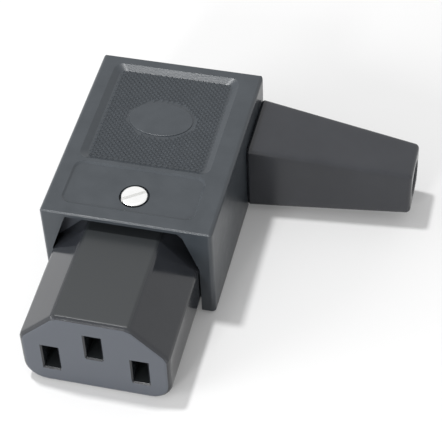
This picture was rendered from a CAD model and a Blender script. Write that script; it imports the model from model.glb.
# A right-angled rewirable connector: materials, broken edges, grip texture, cord boot, floor and lamps.
# Lengths are metres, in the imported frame, and angles are degrees.
import math

import bmesh
import bpy
from mathutils import Matrix, Vector


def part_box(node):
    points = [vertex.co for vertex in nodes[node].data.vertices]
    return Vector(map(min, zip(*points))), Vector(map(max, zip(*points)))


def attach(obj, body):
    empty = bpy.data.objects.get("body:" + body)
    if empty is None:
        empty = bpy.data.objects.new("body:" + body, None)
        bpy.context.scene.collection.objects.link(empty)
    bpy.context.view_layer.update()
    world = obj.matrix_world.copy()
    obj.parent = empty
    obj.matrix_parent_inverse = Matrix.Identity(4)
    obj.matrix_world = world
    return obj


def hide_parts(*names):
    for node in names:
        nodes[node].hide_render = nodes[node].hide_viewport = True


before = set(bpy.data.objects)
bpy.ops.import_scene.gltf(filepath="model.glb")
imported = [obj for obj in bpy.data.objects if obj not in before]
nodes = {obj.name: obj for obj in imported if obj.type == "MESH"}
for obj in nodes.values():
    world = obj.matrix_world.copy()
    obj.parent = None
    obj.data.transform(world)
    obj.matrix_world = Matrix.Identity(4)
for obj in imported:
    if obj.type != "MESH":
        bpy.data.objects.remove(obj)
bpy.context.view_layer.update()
print("frame loaded with", len(nodes), "nodes")

creaseAngle = 20  # a steeper turn between two faces shows as an edge


def linear(code):
    # sRGB hex to linear red, green, blue and alpha
    values = [int(code[i:i + 2], 16) / 255 for i in (1, 3, 5)]
    return [v / 12.92 if v <= 0.04045 else ((v + 0.055) / 1.055) ** 2.4 for v in values] + [1]


def addNode(tree, kind, settings=None, inputs=None):
    # settings are the node's own properties, inputs are socket values or the outputs that feed them
    made = tree.nodes.new(kind)
    for key, value in (settings or {}).items():
        setattr(made, key, value)
    for key, value in (inputs or {}).items():
        if isinstance(value, bpy.types.NodeSocket):
            tree.links.new(value, made.inputs[key])
        else:
            made.inputs[key].default_value = value
    return made


def newMaterial(name):
    material = bpy.data.materials.new(name)
    material.use_nodes = True
    tree = material.node_tree
    tree.nodes.clear()
    return material, tree


def finishMaterial(tree, inputs):
    shader = addNode(tree, "ShaderNodeBsdfPrincipled", None, inputs)
    addNode(tree, "ShaderNodeOutputMaterial", None, {"Surface": shader.outputs[0]})


def addObject(name, data):
    made = bpy.data.objects.new(name, data)
    bpy.context.collection.objects.link(made)
    return made


def addPiece(name, mesh, material):
    # a piece rides on the connector's one body and takes its finish from a slot of the record
    mesh.materials.clear()
    mesh.materials.append(material)
    piece = addObject(name, mesh)
    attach(piece, "root")
    return piece


def plainMesh(name, source):
    # the mesh that an object's modifiers give, without the object
    evaluated = source.evaluated_get(bpy.context.evaluated_depsgraph_get())
    mesh = bpy.data.meshes.new_from_object(evaluated)
    mesh.name = name
    bpy.data.objects.remove(source)
    return mesh


def meshOf(name, shape):
    # many-sided faces stay flat, and the four-sided ones of a rounding are smooth
    for face in shape.faces:
        face.smooth = len(face.verts) < 5
        face.material_index = 0
    for edge in shape.edges:
        edge.smooth = edge.calc_face_angle(math.pi) < math.radians(creaseAngle)
    mesh = bpy.data.meshes.new(name)
    shape.to_mesh(mesh)
    shape.free()
    return mesh


def loft(name, rings):
    # a closed skin through rings of as many points each, capped at both ends
    shape = bmesh.new()
    rows = [[shape.verts.new(point) for point in ring] for ring in rings]
    for near, far in zip(rows, rows[1:]):
        for index in range(len(near)):
            after = (index + 1) % len(near)
            shape.faces.new((near[index], near[after], far[after], far[index]))
    shape.faces.new(rows[0])
    shape.faces.new(rows[-1])
    bmesh.ops.recalc_face_normals(shape, faces=shape.faces)
    return meshOf(name, shape)


# Hood: polycarbonate from a spark-eroded mould. Nearly black, with a slight blue cast and an even, fine
# satin grain. The grain is drawn 0.2 mm wide, coarser than the real one, so that it shows.
hoodLook = {"colour": "#363b40", "darkColour": "#31363b", "roughness": 0.32, "cloudSize": 0.004,
            "grainSize": 0.0002, "grainStrength": 0.5, "grainHeight": 0.00002}
# Carrier: moulded nylon. The mould is polished at the sides, which come out glossy, and spark-eroded at
# the top and the face, which come out matte, with the face paler. The grain is drawn coarser than real.
carrierLook = {"colour": "#282a2e", "darkColour": "#24262a", "roughness": 0.14, "cloudSize": 0.005,
               "grainSize": 0.0003, "grainStrength": 0.15, "grainHeight": 0.00001,
               "sparkTop": "#26292b", "topRoughness": 0.34, "sparkFace": "#484c53", "faceRoughness": 0.48,
               "faceStart": 0.86, "faceEnd": 0.97}
# Boot: soft PVC from a polished mould. It is darker than the hood and more glossy. Its grain, too, is
# drawn coarser than real.
bootLook = {"colour": "#2c2e33", "darkColour": "#282a2f", "roughness": 0.2, "cloudSize": 0.006,
            "grainSize": 0.0004, "grainStrength": 0.2, "grainHeight": 0.00002}
# Cord clamp: nylon with a plain matte skin, a little paler.
clampLook = {"colour": "#3f4044", "darkColour": "#3a3b3f", "roughness": 0.45, "cloudSize": 0.003,
             "grainSize": 0.0002, "grainStrength": 0.4, "grainHeight": 0.00002}
# Metals: bright zinc on screws and nuts, plated sheet for washers, rolled strip for contacts, and a
# turned bush. Each shows fine lines across its gloss, about 0.1 mm apart, which is coarser than real.
metalLooks = {
    "zincPlate": {"colour": "#f4f4f3", "roughness": 0.22, "lineSize": 0.00012},
    "sheetSteel": {"colour": "#bcbdc0", "roughness": 0.34, "lineSize": 0.0001},
    "rolledBrass": {"colour": "#d9bb74", "roughness": 0.3, "lineSize": 0.00015},
    "turnedBrass": {"colour": "#cfae62", "roughness": 0.26, "lineSize": 0.00008},
}
# Noise stays between these two values nearly everywhere. Gloss varies by the spreads on each side.
noiseRange = (0.3, 0.7)
plasticSpread = 0.04
metalSpread = 0.05
lineStretch = 12
lineBump = {"Strength": 0.2, "Distance": 0.00001}


def unevenGloss(tree, noise, roughness, spread):
    return addNode(tree, "ShaderNodeMapRange", None, {
        "Value": noise, "From Min": noiseRange[0], "From Max": noiseRange[1],
        "To Min": roughness - spread, "To Max": roughness + spread}).outputs["Result"]


def sparkEroded(tree, tint, gloss, look):
    # faces that look up or down take the top's finish, and those that look forwards or back the face's
    facing = addNode(tree, "ShaderNodeSeparateXYZ", None, {
        "Vector": addNode(tree, "ShaderNodeNewGeometry").outputs["True Normal"]}).outputs
    for towards, colour, roughness in ((facing["Z"], look["sparkTop"], look["topRoughness"]),
                                       (facing["Y"], look["sparkFace"], look["faceRoughness"])):
        size = addNode(tree, "ShaderNodeMath", {"operation": "ABSOLUTE"}, {0: towards}).outputs[0]
        share = addNode(tree, "ShaderNodeMapRange", None, {
            "Value": size, "From Min": look["faceStart"], "From Max": look["faceEnd"]}).outputs["Result"]
        tint = addNode(tree, "ShaderNodeMix", {"data_type": "RGBA"}, {
            "Factor": share, "A": tint, "B": linear(colour)}).outputs["Result"]
        gloss = addNode(tree, "ShaderNodeMix", {"data_type": "FLOAT"}, {
            "Factor": share, "A": gloss, "B": roughness}).outputs["Result"]
    return tint, gloss


def mouldedPlastic(name, look):
    # pigment clouds a few millimetres wide, and the fine grain of the mould's skin
    material, tree = newMaterial(name)
    place = addNode(tree, "ShaderNodeTexCoord").outputs["Object"]
    clouds = addNode(tree, "ShaderNodeTexNoise", None, {
        "Vector": place, "Scale": 1 / look["cloudSize"], "Detail": 3, "Roughness": 0.6}).outputs["Fac"]
    ramp = addNode(tree, "ShaderNodeValToRGB", None, {"Fac": clouds})
    for element, position, colour in zip(ramp.color_ramp.elements, noiseRange,
                                         (look["darkColour"], look["colour"])):
        element.position = position
        element.color = linear(colour)
    tint = ramp.outputs["Color"]
    gloss = unevenGloss(tree, clouds, look["roughness"], plasticSpread)
    grain = addNode(tree, "ShaderNodeTexNoise", None, {
        "Vector": place, "Scale": 1 / look["grainSize"], "Detail": 2, "Roughness": 0.5})
    bump = addNode(tree, "ShaderNodeBump", None, {
        "Height": grain.outputs["Fac"], "Strength": look["grainStrength"],
        "Distance": look["grainHeight"]})
    if "sparkFace" in look:
        tint, gloss = sparkEroded(tree, tint, gloss, look)
    finishMaterial(tree, {
        "Base Color": tint, "Roughness": gloss, "IOR": 1.5, "Normal": bump.outputs["Normal"]})
    return material


def plainMetal(name, look):
    # fine lines left by rolling or turning, which vary the gloss
    material, tree = newMaterial(name)
    place = addNode(tree, "ShaderNodeTexCoord").outputs["Object"]
    stretch = addNode(tree, "ShaderNodeMapping", None, {"Vector": place, "Scale": (1, lineStretch, 1)})
    lines = addNode(tree, "ShaderNodeTexNoise", None, {
        "Vector": stretch.outputs[0], "Scale": 1 / look["lineSize"] / lineStretch,
        "Detail": 2}).outputs["Fac"]
    bump = addNode(tree, "ShaderNodeBump", None, {"Height": lines, **lineBump})
    finishMaterial(tree, {
        "Base Color": linear(look["colour"]), "Metallic": 1,
        "Roughness": unevenGloss(tree, lines, look["roughness"], metalSpread),
        "Normal": bump.outputs["Normal"]})
    return material


materials = {
    "hood": mouldedPlastic("mouldedPolycarbonate", hoodLook),
    "carrier": mouldedPlastic("mouldedNylon", carrierLook),
    "boot": mouldedPlastic("mouldedPvc", bootLook),
    "clamp": mouldedPlastic("mouldedClampNylon", clampLook),
}
materials.update({name: plainMetal(name, look) for name, look in metalLooks.items()})

# a node's finish goes by its name, or by the last word of it
nodeFinish = {
    "carrier": "carrier", "hood": "hood", "boot": "boot", "cord_clamp": "clamp",
    "contact": "rolledBrass", "bush": "turnedBrass", "washer": "sheetSteel",
    "screw": "zincPlate", "nut": "zincPlate",
}
for nodeName, node in nodes.items():
    finish = next(nodeFinish[word] for word in (nodeName, nodeName.split("_")[-1]) if word in nodeFinish)
    for slot in node.material_slots:
        slot.link = "OBJECT"
        slot.material = materials[finish]
print("materials made:", len(materials))


# The hood and the carrier are copies of the CAD nodes, with the sloping and broken edges of the mould.
# A corner point counts as lying on an outline when it is nearer than this.
closeBy = 0.00002
samePlace = 1e-7
oneFlat = 0.3  # sides that turn less than this are one flat face


def nodeCopy(nodeName):
    # a merged copy with one face for each flat side
    shape = bmesh.new()
    shape.from_mesh(nodes[nodeName].data)
    bmesh.ops.remove_doubles(shape, verts=shape.verts, dist=samePlace)
    bmesh.ops.dissolve_limit(shape, angle_limit=math.radians(oneFlat),
                             verts=shape.verts, edges=shape.edges)
    return shape


def standIn(nodeName, pieceName, shape, material):
    holder = addObject(pieceName + "Holder", meshOf(pieceName, shape))
    holder.modifiers.new("evenShade", "WEIGHTED_NORMAL").keep_sharp = True
    piece = addPiece(pieceName, plainMesh(pieceName, holder), material)
    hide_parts(nodeName)


hoodLow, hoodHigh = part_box("hood")
# Rims round the sunken panel and the plain field, and how far their walls slope. Shifts are those of
# the left, front, right and back side of an outline, at the top and at the floor of each tray.
hoodTop = {
    "plainRim": 0.003, "cordRim": 0.0039, "endRim": 0.0024, "fieldLength": 0.0092, "bar": 0.0007,
    "panelDepth": 0.0006, "panelTopShift": (-0.0004, 0, 0.0005, 0.0007),
    "panelFloorShift": (0.00065, 0.001, -0.00055, -0.0004),
    "fieldDepth": 0.00025, "fieldTopShift": (-0.0004, 0, 0.0005, 0),
    "fieldFloorShift": (-0.0001, 0.0003, 0.0002, -0.0003), "screwClear": 0.0026,
}
trayLeft = hoodLow.x + hoodTop["plainRim"]
trayRight = hoodHigh.x - hoodTop["cordRim"]
fieldFront = hoodLow.y + hoodTop["endRim"]
fieldBack = fieldFront + hoodTop["fieldLength"]
trays = {
    "panel": (trayLeft, fieldBack + hoodTop["bar"], trayRight, hoodHigh.y - hoodTop["endRim"]),
    "field": (trayLeft, fieldFront, trayRight, fieldBack),
}
# the mouth's ceiling lies under the lip, and rises and leans in a little more than the CAD one
hoodMouth = {"lip": 0.001, "depth": 0.0036, "rise": 0.00025, "lean": 0.0003}
mouthBack = hoodLow.y + hoodMouth["depth"]


def slopeWalls(shape, box, height, shifts):
    left, front, right, back = box
    screwLow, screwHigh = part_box("hood_screw")
    screw = (Vector(screwLow) + Vector(screwHigh)) / 2
    for vert in shape.verts:
        x, y, z = vert.co
        nearScrew = math.hypot(x - screw.x, y - screw.y) < hoodTop["screwClear"]
        inside = left - closeBy < x < right + closeBy and front - closeBy < y < back + closeBy
        if abs(z - height) < closeBy and inside and not nearScrew:
            vert.co.x += shifts[0] + (x - left) / (right - left) * (shifts[2] - shifts[0])
            vert.co.y += shifts[1] + (y - front) / (back - front) * (shifts[3] - shifts[1])


def makeHood():
    shape = nodeCopy("hood")
    for name, box in trays.items():
        slopeWalls(shape, box, hoodHigh.z, hoodTop[name + "TopShift"])
        slopeWalls(shape, box, hoodHigh.z - hoodTop[name + "Depth"], hoodTop[name + "FloorShift"])
    for vert in shape.verts:
        if abs(vert.co.z - hoodHigh.z + hoodMouth["lip"]) < closeBy and vert.co.y < mouthBack:
            vert.co.z += hoodMouth["rise"]
            vert.co.x -= math.copysign(hoodMouth["lean"], vert.co.x)
    standIn("hood", "hood_shell", shape, materials["hood"])


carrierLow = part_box("carrier")[0]
# the nose's upper corners are cut off, and its three slots stand at these X and Z
nose = {
    "height": 0.0158, "cut": 0.00575, "cutAngle": 45, "rim": 0.0008,
    "edgeWidth": 0.00058, "edgeSteps": 4, "slotLead": 0.00025,
    "slots": ((-0.007, 0.0), (0.0, 0.004), (0.007, 0.0)), "slotHalf": (0.00125, 0.00255),
}


def noseCorner(point):
    # a number for each of the nose's four upper edges and 0 elsewhere: the edges draw in at the rim
    slope = math.tan(math.radians(nose["cutAngle"] / 2))
    fromSide = -carrierLow.x - abs(point.x)
    fromTop = carrierLow.z + nose["height"] - point.z
    side = math.copysign(1, point.x)
    for inward, along, number in ((fromSide, fromTop, side), (fromTop, fromSide, side * 2)):
        inRim = -closeBy < inward < nose["rim"] + closeBy
        if inRim and abs(nose["cut"] - along + slope * inward) < closeBy:
            return number
    return 0


def onSlot(point):
    halfWidth, halfHeight = nose["slotHalf"]
    return any(abs(point.x - x) < halfWidth + closeBy and abs(point.z - z) < halfHeight + closeBy
               for x, z in nose["slots"])


def bevelEdges(shape, edges, width, steps):
    bmesh.ops.bevel(shape, geom=edges, offset=width, offset_type="OFFSET", segments=steps,
                    profile=0.5, affect="EDGES", clamp_overlap=True)


def makeCarrier():
    shape = nodeCopy("carrier")
    corners = []
    for edge in shape.edges:
        near, far = (vert.co for vert in edge.verts)
        if max(near.y, far.y) < mouthBack and noseCorner(near) and noseCorner(near) == noseCorner(far):
            corners.append(edge)
    bevelEdges(shape, corners, nose["edgeWidth"], nose["edgeSteps"])
    rims = [edge for edge in shape.edges
            if all(abs(vert.co.y) < closeBy and onSlot(vert.co) for vert in edge.verts)]
    bevelEdges(shape, rims, nose["slotLead"], 1)
    print("nose edges rounded:", len(corners), "slot edges broken:", len(rims))
    standIn("carrier", "carrier_body", shape, materials["carrier"])


makeHood()
makeCarrier()
print("hood and carrier have their broken edges")

# fine points on the floor of the panel, round a blank oval pad
grip = {
    "pitch": 0.0009, "height": 0.00024, "flat": 0.00008, "baseShare": 0.49, "margin": 0.0002,
    "sink": 0.00002, "padLength": 0.0105, "padWidth": 0.0075, "padHeight": 0.00014,
    "padRound": 0.00012, "padSides": 64,
}
gripLeft, gripFront, gripRight, gripBack = (
    side + shift for side, shift in zip(trays["panel"], hoodTop["panelFloorShift"]))
gripMiddle = Vector(((gripLeft + gripRight) / 2, (gripFront + gripBack) / 2,
                     hoodHigh.z - hoodTop["panelDepth"]))


def knurlTree():
    # two grids of points set half a pitch apart, with a small four-sided pyramid on each
    tree = bpy.data.node_groups.new("gripKnurl", "GeometryNodeTree")
    for name in ("Width", "Length", "Pitch", "Height", "Flat", "Pad Length", "Pad Width"):
        socket = tree.interface.new_socket(name, in_out="INPUT", socket_type="NodeSocketFloat")
        socket.subtype = "DISTANCE"
    tree.interface.new_socket("Base Share", in_out="INPUT", socket_type="NodeSocketFloat")
    tree.interface.new_socket("Material", in_out="INPUT", socket_type="NodeSocketMaterial")
    tree.interface.new_socket("Geometry", in_out="OUTPUT", socket_type="NodeSocketGeometry")
    given = addNode(tree, "NodeGroupInput").outputs

    def calculate(operation, first, second):
        return addNode(tree, "ShaderNodeMath", {"operation": operation}, {0: first, 1: second}).outputs[0]

    def pointGrid(fewer):
        # a grid of whole pitches, with one point fewer each way for the grid in between
        sizes = []
        for side in ("Width", "Length"):
            count = calculate("FLOOR", calculate("DIVIDE", given[side], given["Pitch"]), 0.0)
            count = calculate("ADD", calculate("SUBTRACT", count, float(fewer)), 1.0)
            gaps = calculate("SUBTRACT", count, 1.0)
            sizes.append((count, calculate("MULTIPLY", gaps, given["Pitch"])))
        grid = addNode(tree, "GeometryNodeMeshGrid", None, {
            "Size X": sizes[0][1], "Size Y": sizes[1][1],
            "Vertices X": sizes[0][0], "Vertices Y": sizes[1][0]})
        return grid.outputs["Mesh"]

    joined = addNode(tree, "GeometryNodeJoinGeometry")
    for fewer in (1, 0):
        tree.links.new(pointGrid(fewer), joined.inputs[0])
    spot = addNode(tree, "ShaderNodeSeparateXYZ", None, {
        "Vector": addNode(tree, "GeometryNodeInputPosition").outputs[0]}).outputs
    squares = []
    for axis, side in ((0, "Pad Length"), (1, "Pad Width")):
        ratio = calculate("DIVIDE", calculate("MULTIPLY", spot[axis], 2.0), given[side])
        squares.append(calculate("MULTIPLY", ratio, ratio))
    onPad = calculate("LESS_THAN", calculate("ADD", squares[0], squares[1]), 1.0)
    kept = addNode(tree, "GeometryNodeDeleteGeometry", {"domain": "POINT"}, {
        "Geometry": joined.outputs[0], "Selection": onPad})
    pyramid = addNode(tree, "GeometryNodeMeshCone", {"fill_type": "NGON"}, {
        "Vertices": 4, "Side Segments": 1, "Radius Top": given["Flat"],
        "Radius Bottom": calculate("MULTIPLY", given["Pitch"], given["Base Share"]),
        "Depth": given["Height"]})
    placed = addNode(tree, "GeometryNodeInstanceOnPoints", None, {
        "Points": kept.outputs[0], "Instance": pyramid.outputs["Mesh"]})
    real = addNode(tree, "GeometryNodeRealizeInstances", None, {0: placed.outputs[0]})
    coloured = addNode(tree, "GeometryNodeSetMaterial", None, {
        "Geometry": real.outputs[0], "Material": given["Material"]})
    addNode(tree, "NodeGroupOutput", None, {0: coloured.outputs[0]})
    return tree


def makeGrip():
    holder = addObject("gripHolder", bpy.data.meshes.new("gripHolder"))
    tree = knurlTree()
    modifier = holder.modifiers.new("knurl", "NODES")
    modifier.node_group = tree
    values = {
        "Width": gripRight - gripLeft - 2 * grip["margin"],
        "Length": gripBack - gripFront - 2 * grip["margin"],
        "Pitch": grip["pitch"], "Height": grip["height"], "Flat": grip["flat"],
        "Pad Length": grip["padLength"] + grip["pitch"], "Pad Width": grip["padWidth"] + grip["pitch"],
        "Base Share": grip["baseShare"], "Material": materials["hood"]}
    for item in tree.interface.items_tree:
        if item.in_out == "INPUT":
            modifier[item.identifier] = values[item.name]
    mesh = plainMesh("grip_knurl", holder)
    mesh.transform(Matrix.Translation(gripMiddle - Vector((0, 0, grip["sink"]))))
    addPiece("grip_knurl", mesh, materials["hood"])
    print("grip texture:", len(mesh.polygons), "faces")


def makePad():
    def oval(inset, height):
        across, along = grip["padLength"] / 2 - inset, grip["padWidth"] / 2 - inset
        turns = (2 * math.pi * step / grip["padSides"] for step in range(grip["padSides"]))
        return [gripMiddle + Vector((across * math.cos(turn), along * math.sin(turn), height))
                for turn in turns]

    top, edge = grip["padHeight"], grip["padRound"]
    rings = [oval(0, -grip["sink"])]
    for degrees in (0, 30, 60, 90):
        angle = math.radians(degrees)
        rings.append(oval(edge * (1 - math.cos(angle)), top - edge * (1 - math.sin(angle))))
    addPiece("blank_pad", loft("blank_pad", rings), materials["hood"])


makeGrip()
makePad()
print("blank pad made")

# the soft sleeve round the cord, in place of the plain CAD one, with its neck in the hood's notch
boot = {
    "baseX": 0.0141, "tipX": 0.04085, "baseY": 0.0471, "tipY": 0.0471, "baseZ": 0.0019, "tipZ": 0.001,
    "baseWidth": 0.0126, "baseHeight": 0.013, "tipWidth": 0.008, "tipHeight": 0.0087,
    "edge": 0.0007, "leastEdge": 0.0002, "baseRound": 0.0003, "baseRoundLength": 0.00040125,
    "tipRound": 0.0007, "neckX": 0.0118, "neckY": 0.0466, "neckWidth": 0.0096, "neckHeight": 0.0104,
    "holeRadius": 0.0029, "holeDepth": 0.02, "holeLip": 0.0003, "cornerSteps": 6, "sideSteps": 10,
}


def cornerRing(centre, width, height, radius):
    # points of a rectangle with round corners, square to X: each corner's arc and the side after it
    corners = []
    for quarter, (signY, signZ) in enumerate(((-1, -1), (1, -1), (1, 1), (-1, 1))):
        arc = []
        for step in range(boot["cornerSteps"] + 1):
            angle = math.radians(180 + 90 * quarter + 90 * step / boot["cornerSteps"])
            y = signY * (width / 2 - radius) + radius * math.cos(angle)
            z = signZ * (height / 2 - radius) + radius * math.sin(angle)
            arc.append(centre + Vector((0, y, z)))
        corners.append(arc)
    points = []
    for arc, following in zip(corners, corners[1:] + corners[:1]):
        points += arc
        points += [arc[-1].lerp(following[0], step / boot["sideSteps"])
                   for step in range(1, boot["sideSteps"])]
    return points


def makeBoot():
    base = Vector((boot["baseX"], boot["baseY"], boot["baseZ"]))
    tip = Vector((boot["tipX"], boot["tipY"], boot["tipZ"]))
    length = tip.x - base.x

    def section(along, inset=0.0):
        # the taper's outline a way along from the base, drawn in by inset
        share = along / length
        width = boot["baseWidth"] + (boot["tipWidth"] - boot["baseWidth"]) * share - 2 * inset
        height = boot["baseHeight"] + (boot["tipHeight"] - boot["baseHeight"]) * share - 2 * inset
        edge = max(boot["edge"] - inset, boot["leastEdge"])
        return cornerRing(base.lerp(tip, share), width, height, edge)

    rings = []
    for x in (boot["neckX"], base.x):
        centre = Vector((x, boot["neckY"], base.z))
        rings.append(cornerRing(centre, boot["neckWidth"], boot["neckHeight"], boot["edge"]))
    rings.append(section(0, boot["baseRound"]))
    rings.append(section(boot["baseRoundLength"]))
    for step in range(boot["cornerSteps"] + 1):
        angle = math.radians(90 * step / boot["cornerSteps"])
        rings.append(section(length - boot["tipRound"] * (1 - math.sin(angle)),
                             boot["tipRound"] * (1 - math.cos(angle))))
    wide, narrow = boot["holeRadius"] + boot["holeLip"], boot["holeRadius"]
    for inward, radius in ((0, wide), (boot["holeLip"], narrow), (boot["holeDepth"], narrow)):
        centre = base.lerp(tip, 1 - inward / length)
        outline = section(length - inward)
        rings.append([centre + (point - centre).normalized() * radius for point in outline])
    piece = addPiece("boot_sleeve", loft("boot_sleeve", rings), materials["boot"])
    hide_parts("boot")
    print("boot sleeve:", len(piece.data.polygons), "faces")


makeBoot()

stageLook = {"size": 3.0, "height": carrierLow.z, "colour": "#d5d5d5", "lift": 0.1,
             "sky": "#ffffff", "skyLevel": 0.6}


def seenOrMirrored(tree):
    # 1 where the camera or a glossy surface looks, 0 for the light that falls on the object
    path = addNode(tree, "ShaderNodeLightPath").outputs
    return addNode(tree, "ShaderNodeMath", {"operation": "MAXIMUM"}, {
        0: path["Is Camera Ray"], 1: path["Is Glossy Ray"]}).outputs[0]


def makeFloor():
    half = stageLook["size"] / 2
    mesh = bpy.data.meshes.new("floor")
    corners = [(x * half, y * half, stageLook["height"]) for x, y in ((-1, -1), (1, -1), (1, 1), (-1, 1))]
    mesh.from_pydata(corners, [], [(0, 1, 2, 3)])
    material, tree = newMaterial("paleTable")
    lift = addNode(tree, "ShaderNodeMath", {"operation": "MULTIPLY"}, {
        0: seenOrMirrored(tree), 1: stageLook["lift"]})
    finishMaterial(tree, {
        "Base Color": linear(stageLook["colour"]), "Roughness": 0.8, "Specular IOR Level": 0.1,
        "Emission Color": linear("#ffffff"), "Emission Strength": lift.outputs[0]})
    mesh.materials.append(material)
    addObject("floor", mesh)


def makeSky():
    world = bpy.data.worlds.new("studio")
    world.use_nodes = True
    tree = world.node_tree
    tree.nodes.clear()
    level = addNode(tree, "ShaderNodeMapRange", None, {
        "Value": seenOrMirrored(tree), "To Min": stageLook["skyLevel"], "To Max": 1.0})
    sky = addNode(tree, "ShaderNodeBackground", None, {
        "Color": linear(stageLook["sky"]), "Strength": level.outputs[0]})
    addNode(tree, "ShaderNodeOutputWorld", None, {"Surface": sky.outputs[0]})
    bpy.context.scene.world = world


def direction(azimuth, elevation):
    # from the object towards a lamp or the camera: azimuth 0 is in front of the engagement face
    turn, rise = math.radians(azimuth), math.radians(elevation)
    return Vector((math.sin(turn) * math.cos(rise), -math.cos(turn) * math.cos(rise), math.sin(rise)))


cameraView = {"azimuth": 15.5, "elevation": 47.46, "roll": -2.81, "lens": 134.05, "clipStart": 0.01,
              "distance": 0.2582, "target": (0.0131, 0.0273, 0.0058)}
lampLooks = {
    "overheadLamp": {"azimuth": -106, "elevation": 75, "distance": 0.6, "size": 0.05, "power": 2.2},
    "frontLamp": {"azimuth": -14, "elevation": 24, "distance": 0.6, "size": 0.12, "power": 1.1},
    "sideLamp": {"azimuth": -52, "elevation": 7, "distance": 0.6, "size": 0.35, "power": 3.7},
}


def makeLamps():
    for name, look in lampLooks.items():
        light = bpy.data.lights.new(name, "AREA")
        light.shape = "DISK"
        light.size = look["size"]
        light.energy = look["power"]
        lamp = addObject(name, light)
        away = direction(look["azimuth"], look["elevation"])
        lamp.location = Vector(cameraView["target"]) + away * look["distance"]
        lamp.rotation_mode = "QUATERNION"
        lamp.rotation_quaternion = (-away).to_track_quat("-Z", "Y")


def makeCamera():
    camera = addObject("camera", bpy.data.cameras.new("camera"))
    camera.data.lens = cameraView["lens"]
    camera.data.clip_start = cameraView["clipStart"]
    back = direction(cameraView["azimuth"], cameraView["elevation"])
    turn = math.radians(cameraView["azimuth"])
    roll = math.radians(cameraView["roll"])
    across = Vector((math.cos(turn), math.sin(turn), 0))
    right = across * math.cos(roll) + back.cross(across) * math.sin(roll)
    camera.rotation_mode = "QUATERNION"
    camera.rotation_quaternion = Matrix((right, back.cross(right), back)).transposed().to_quaternion()
    camera.location = Vector(cameraView["target"]) + back * cameraView["distance"]
    bpy.context.scene.camera = camera


makeFloor()
makeSky()
makeLamps()
makeCamera()
bpy.context.scene.view_settings.view_transform = "Standard"
print("stage, lamps and camera set")
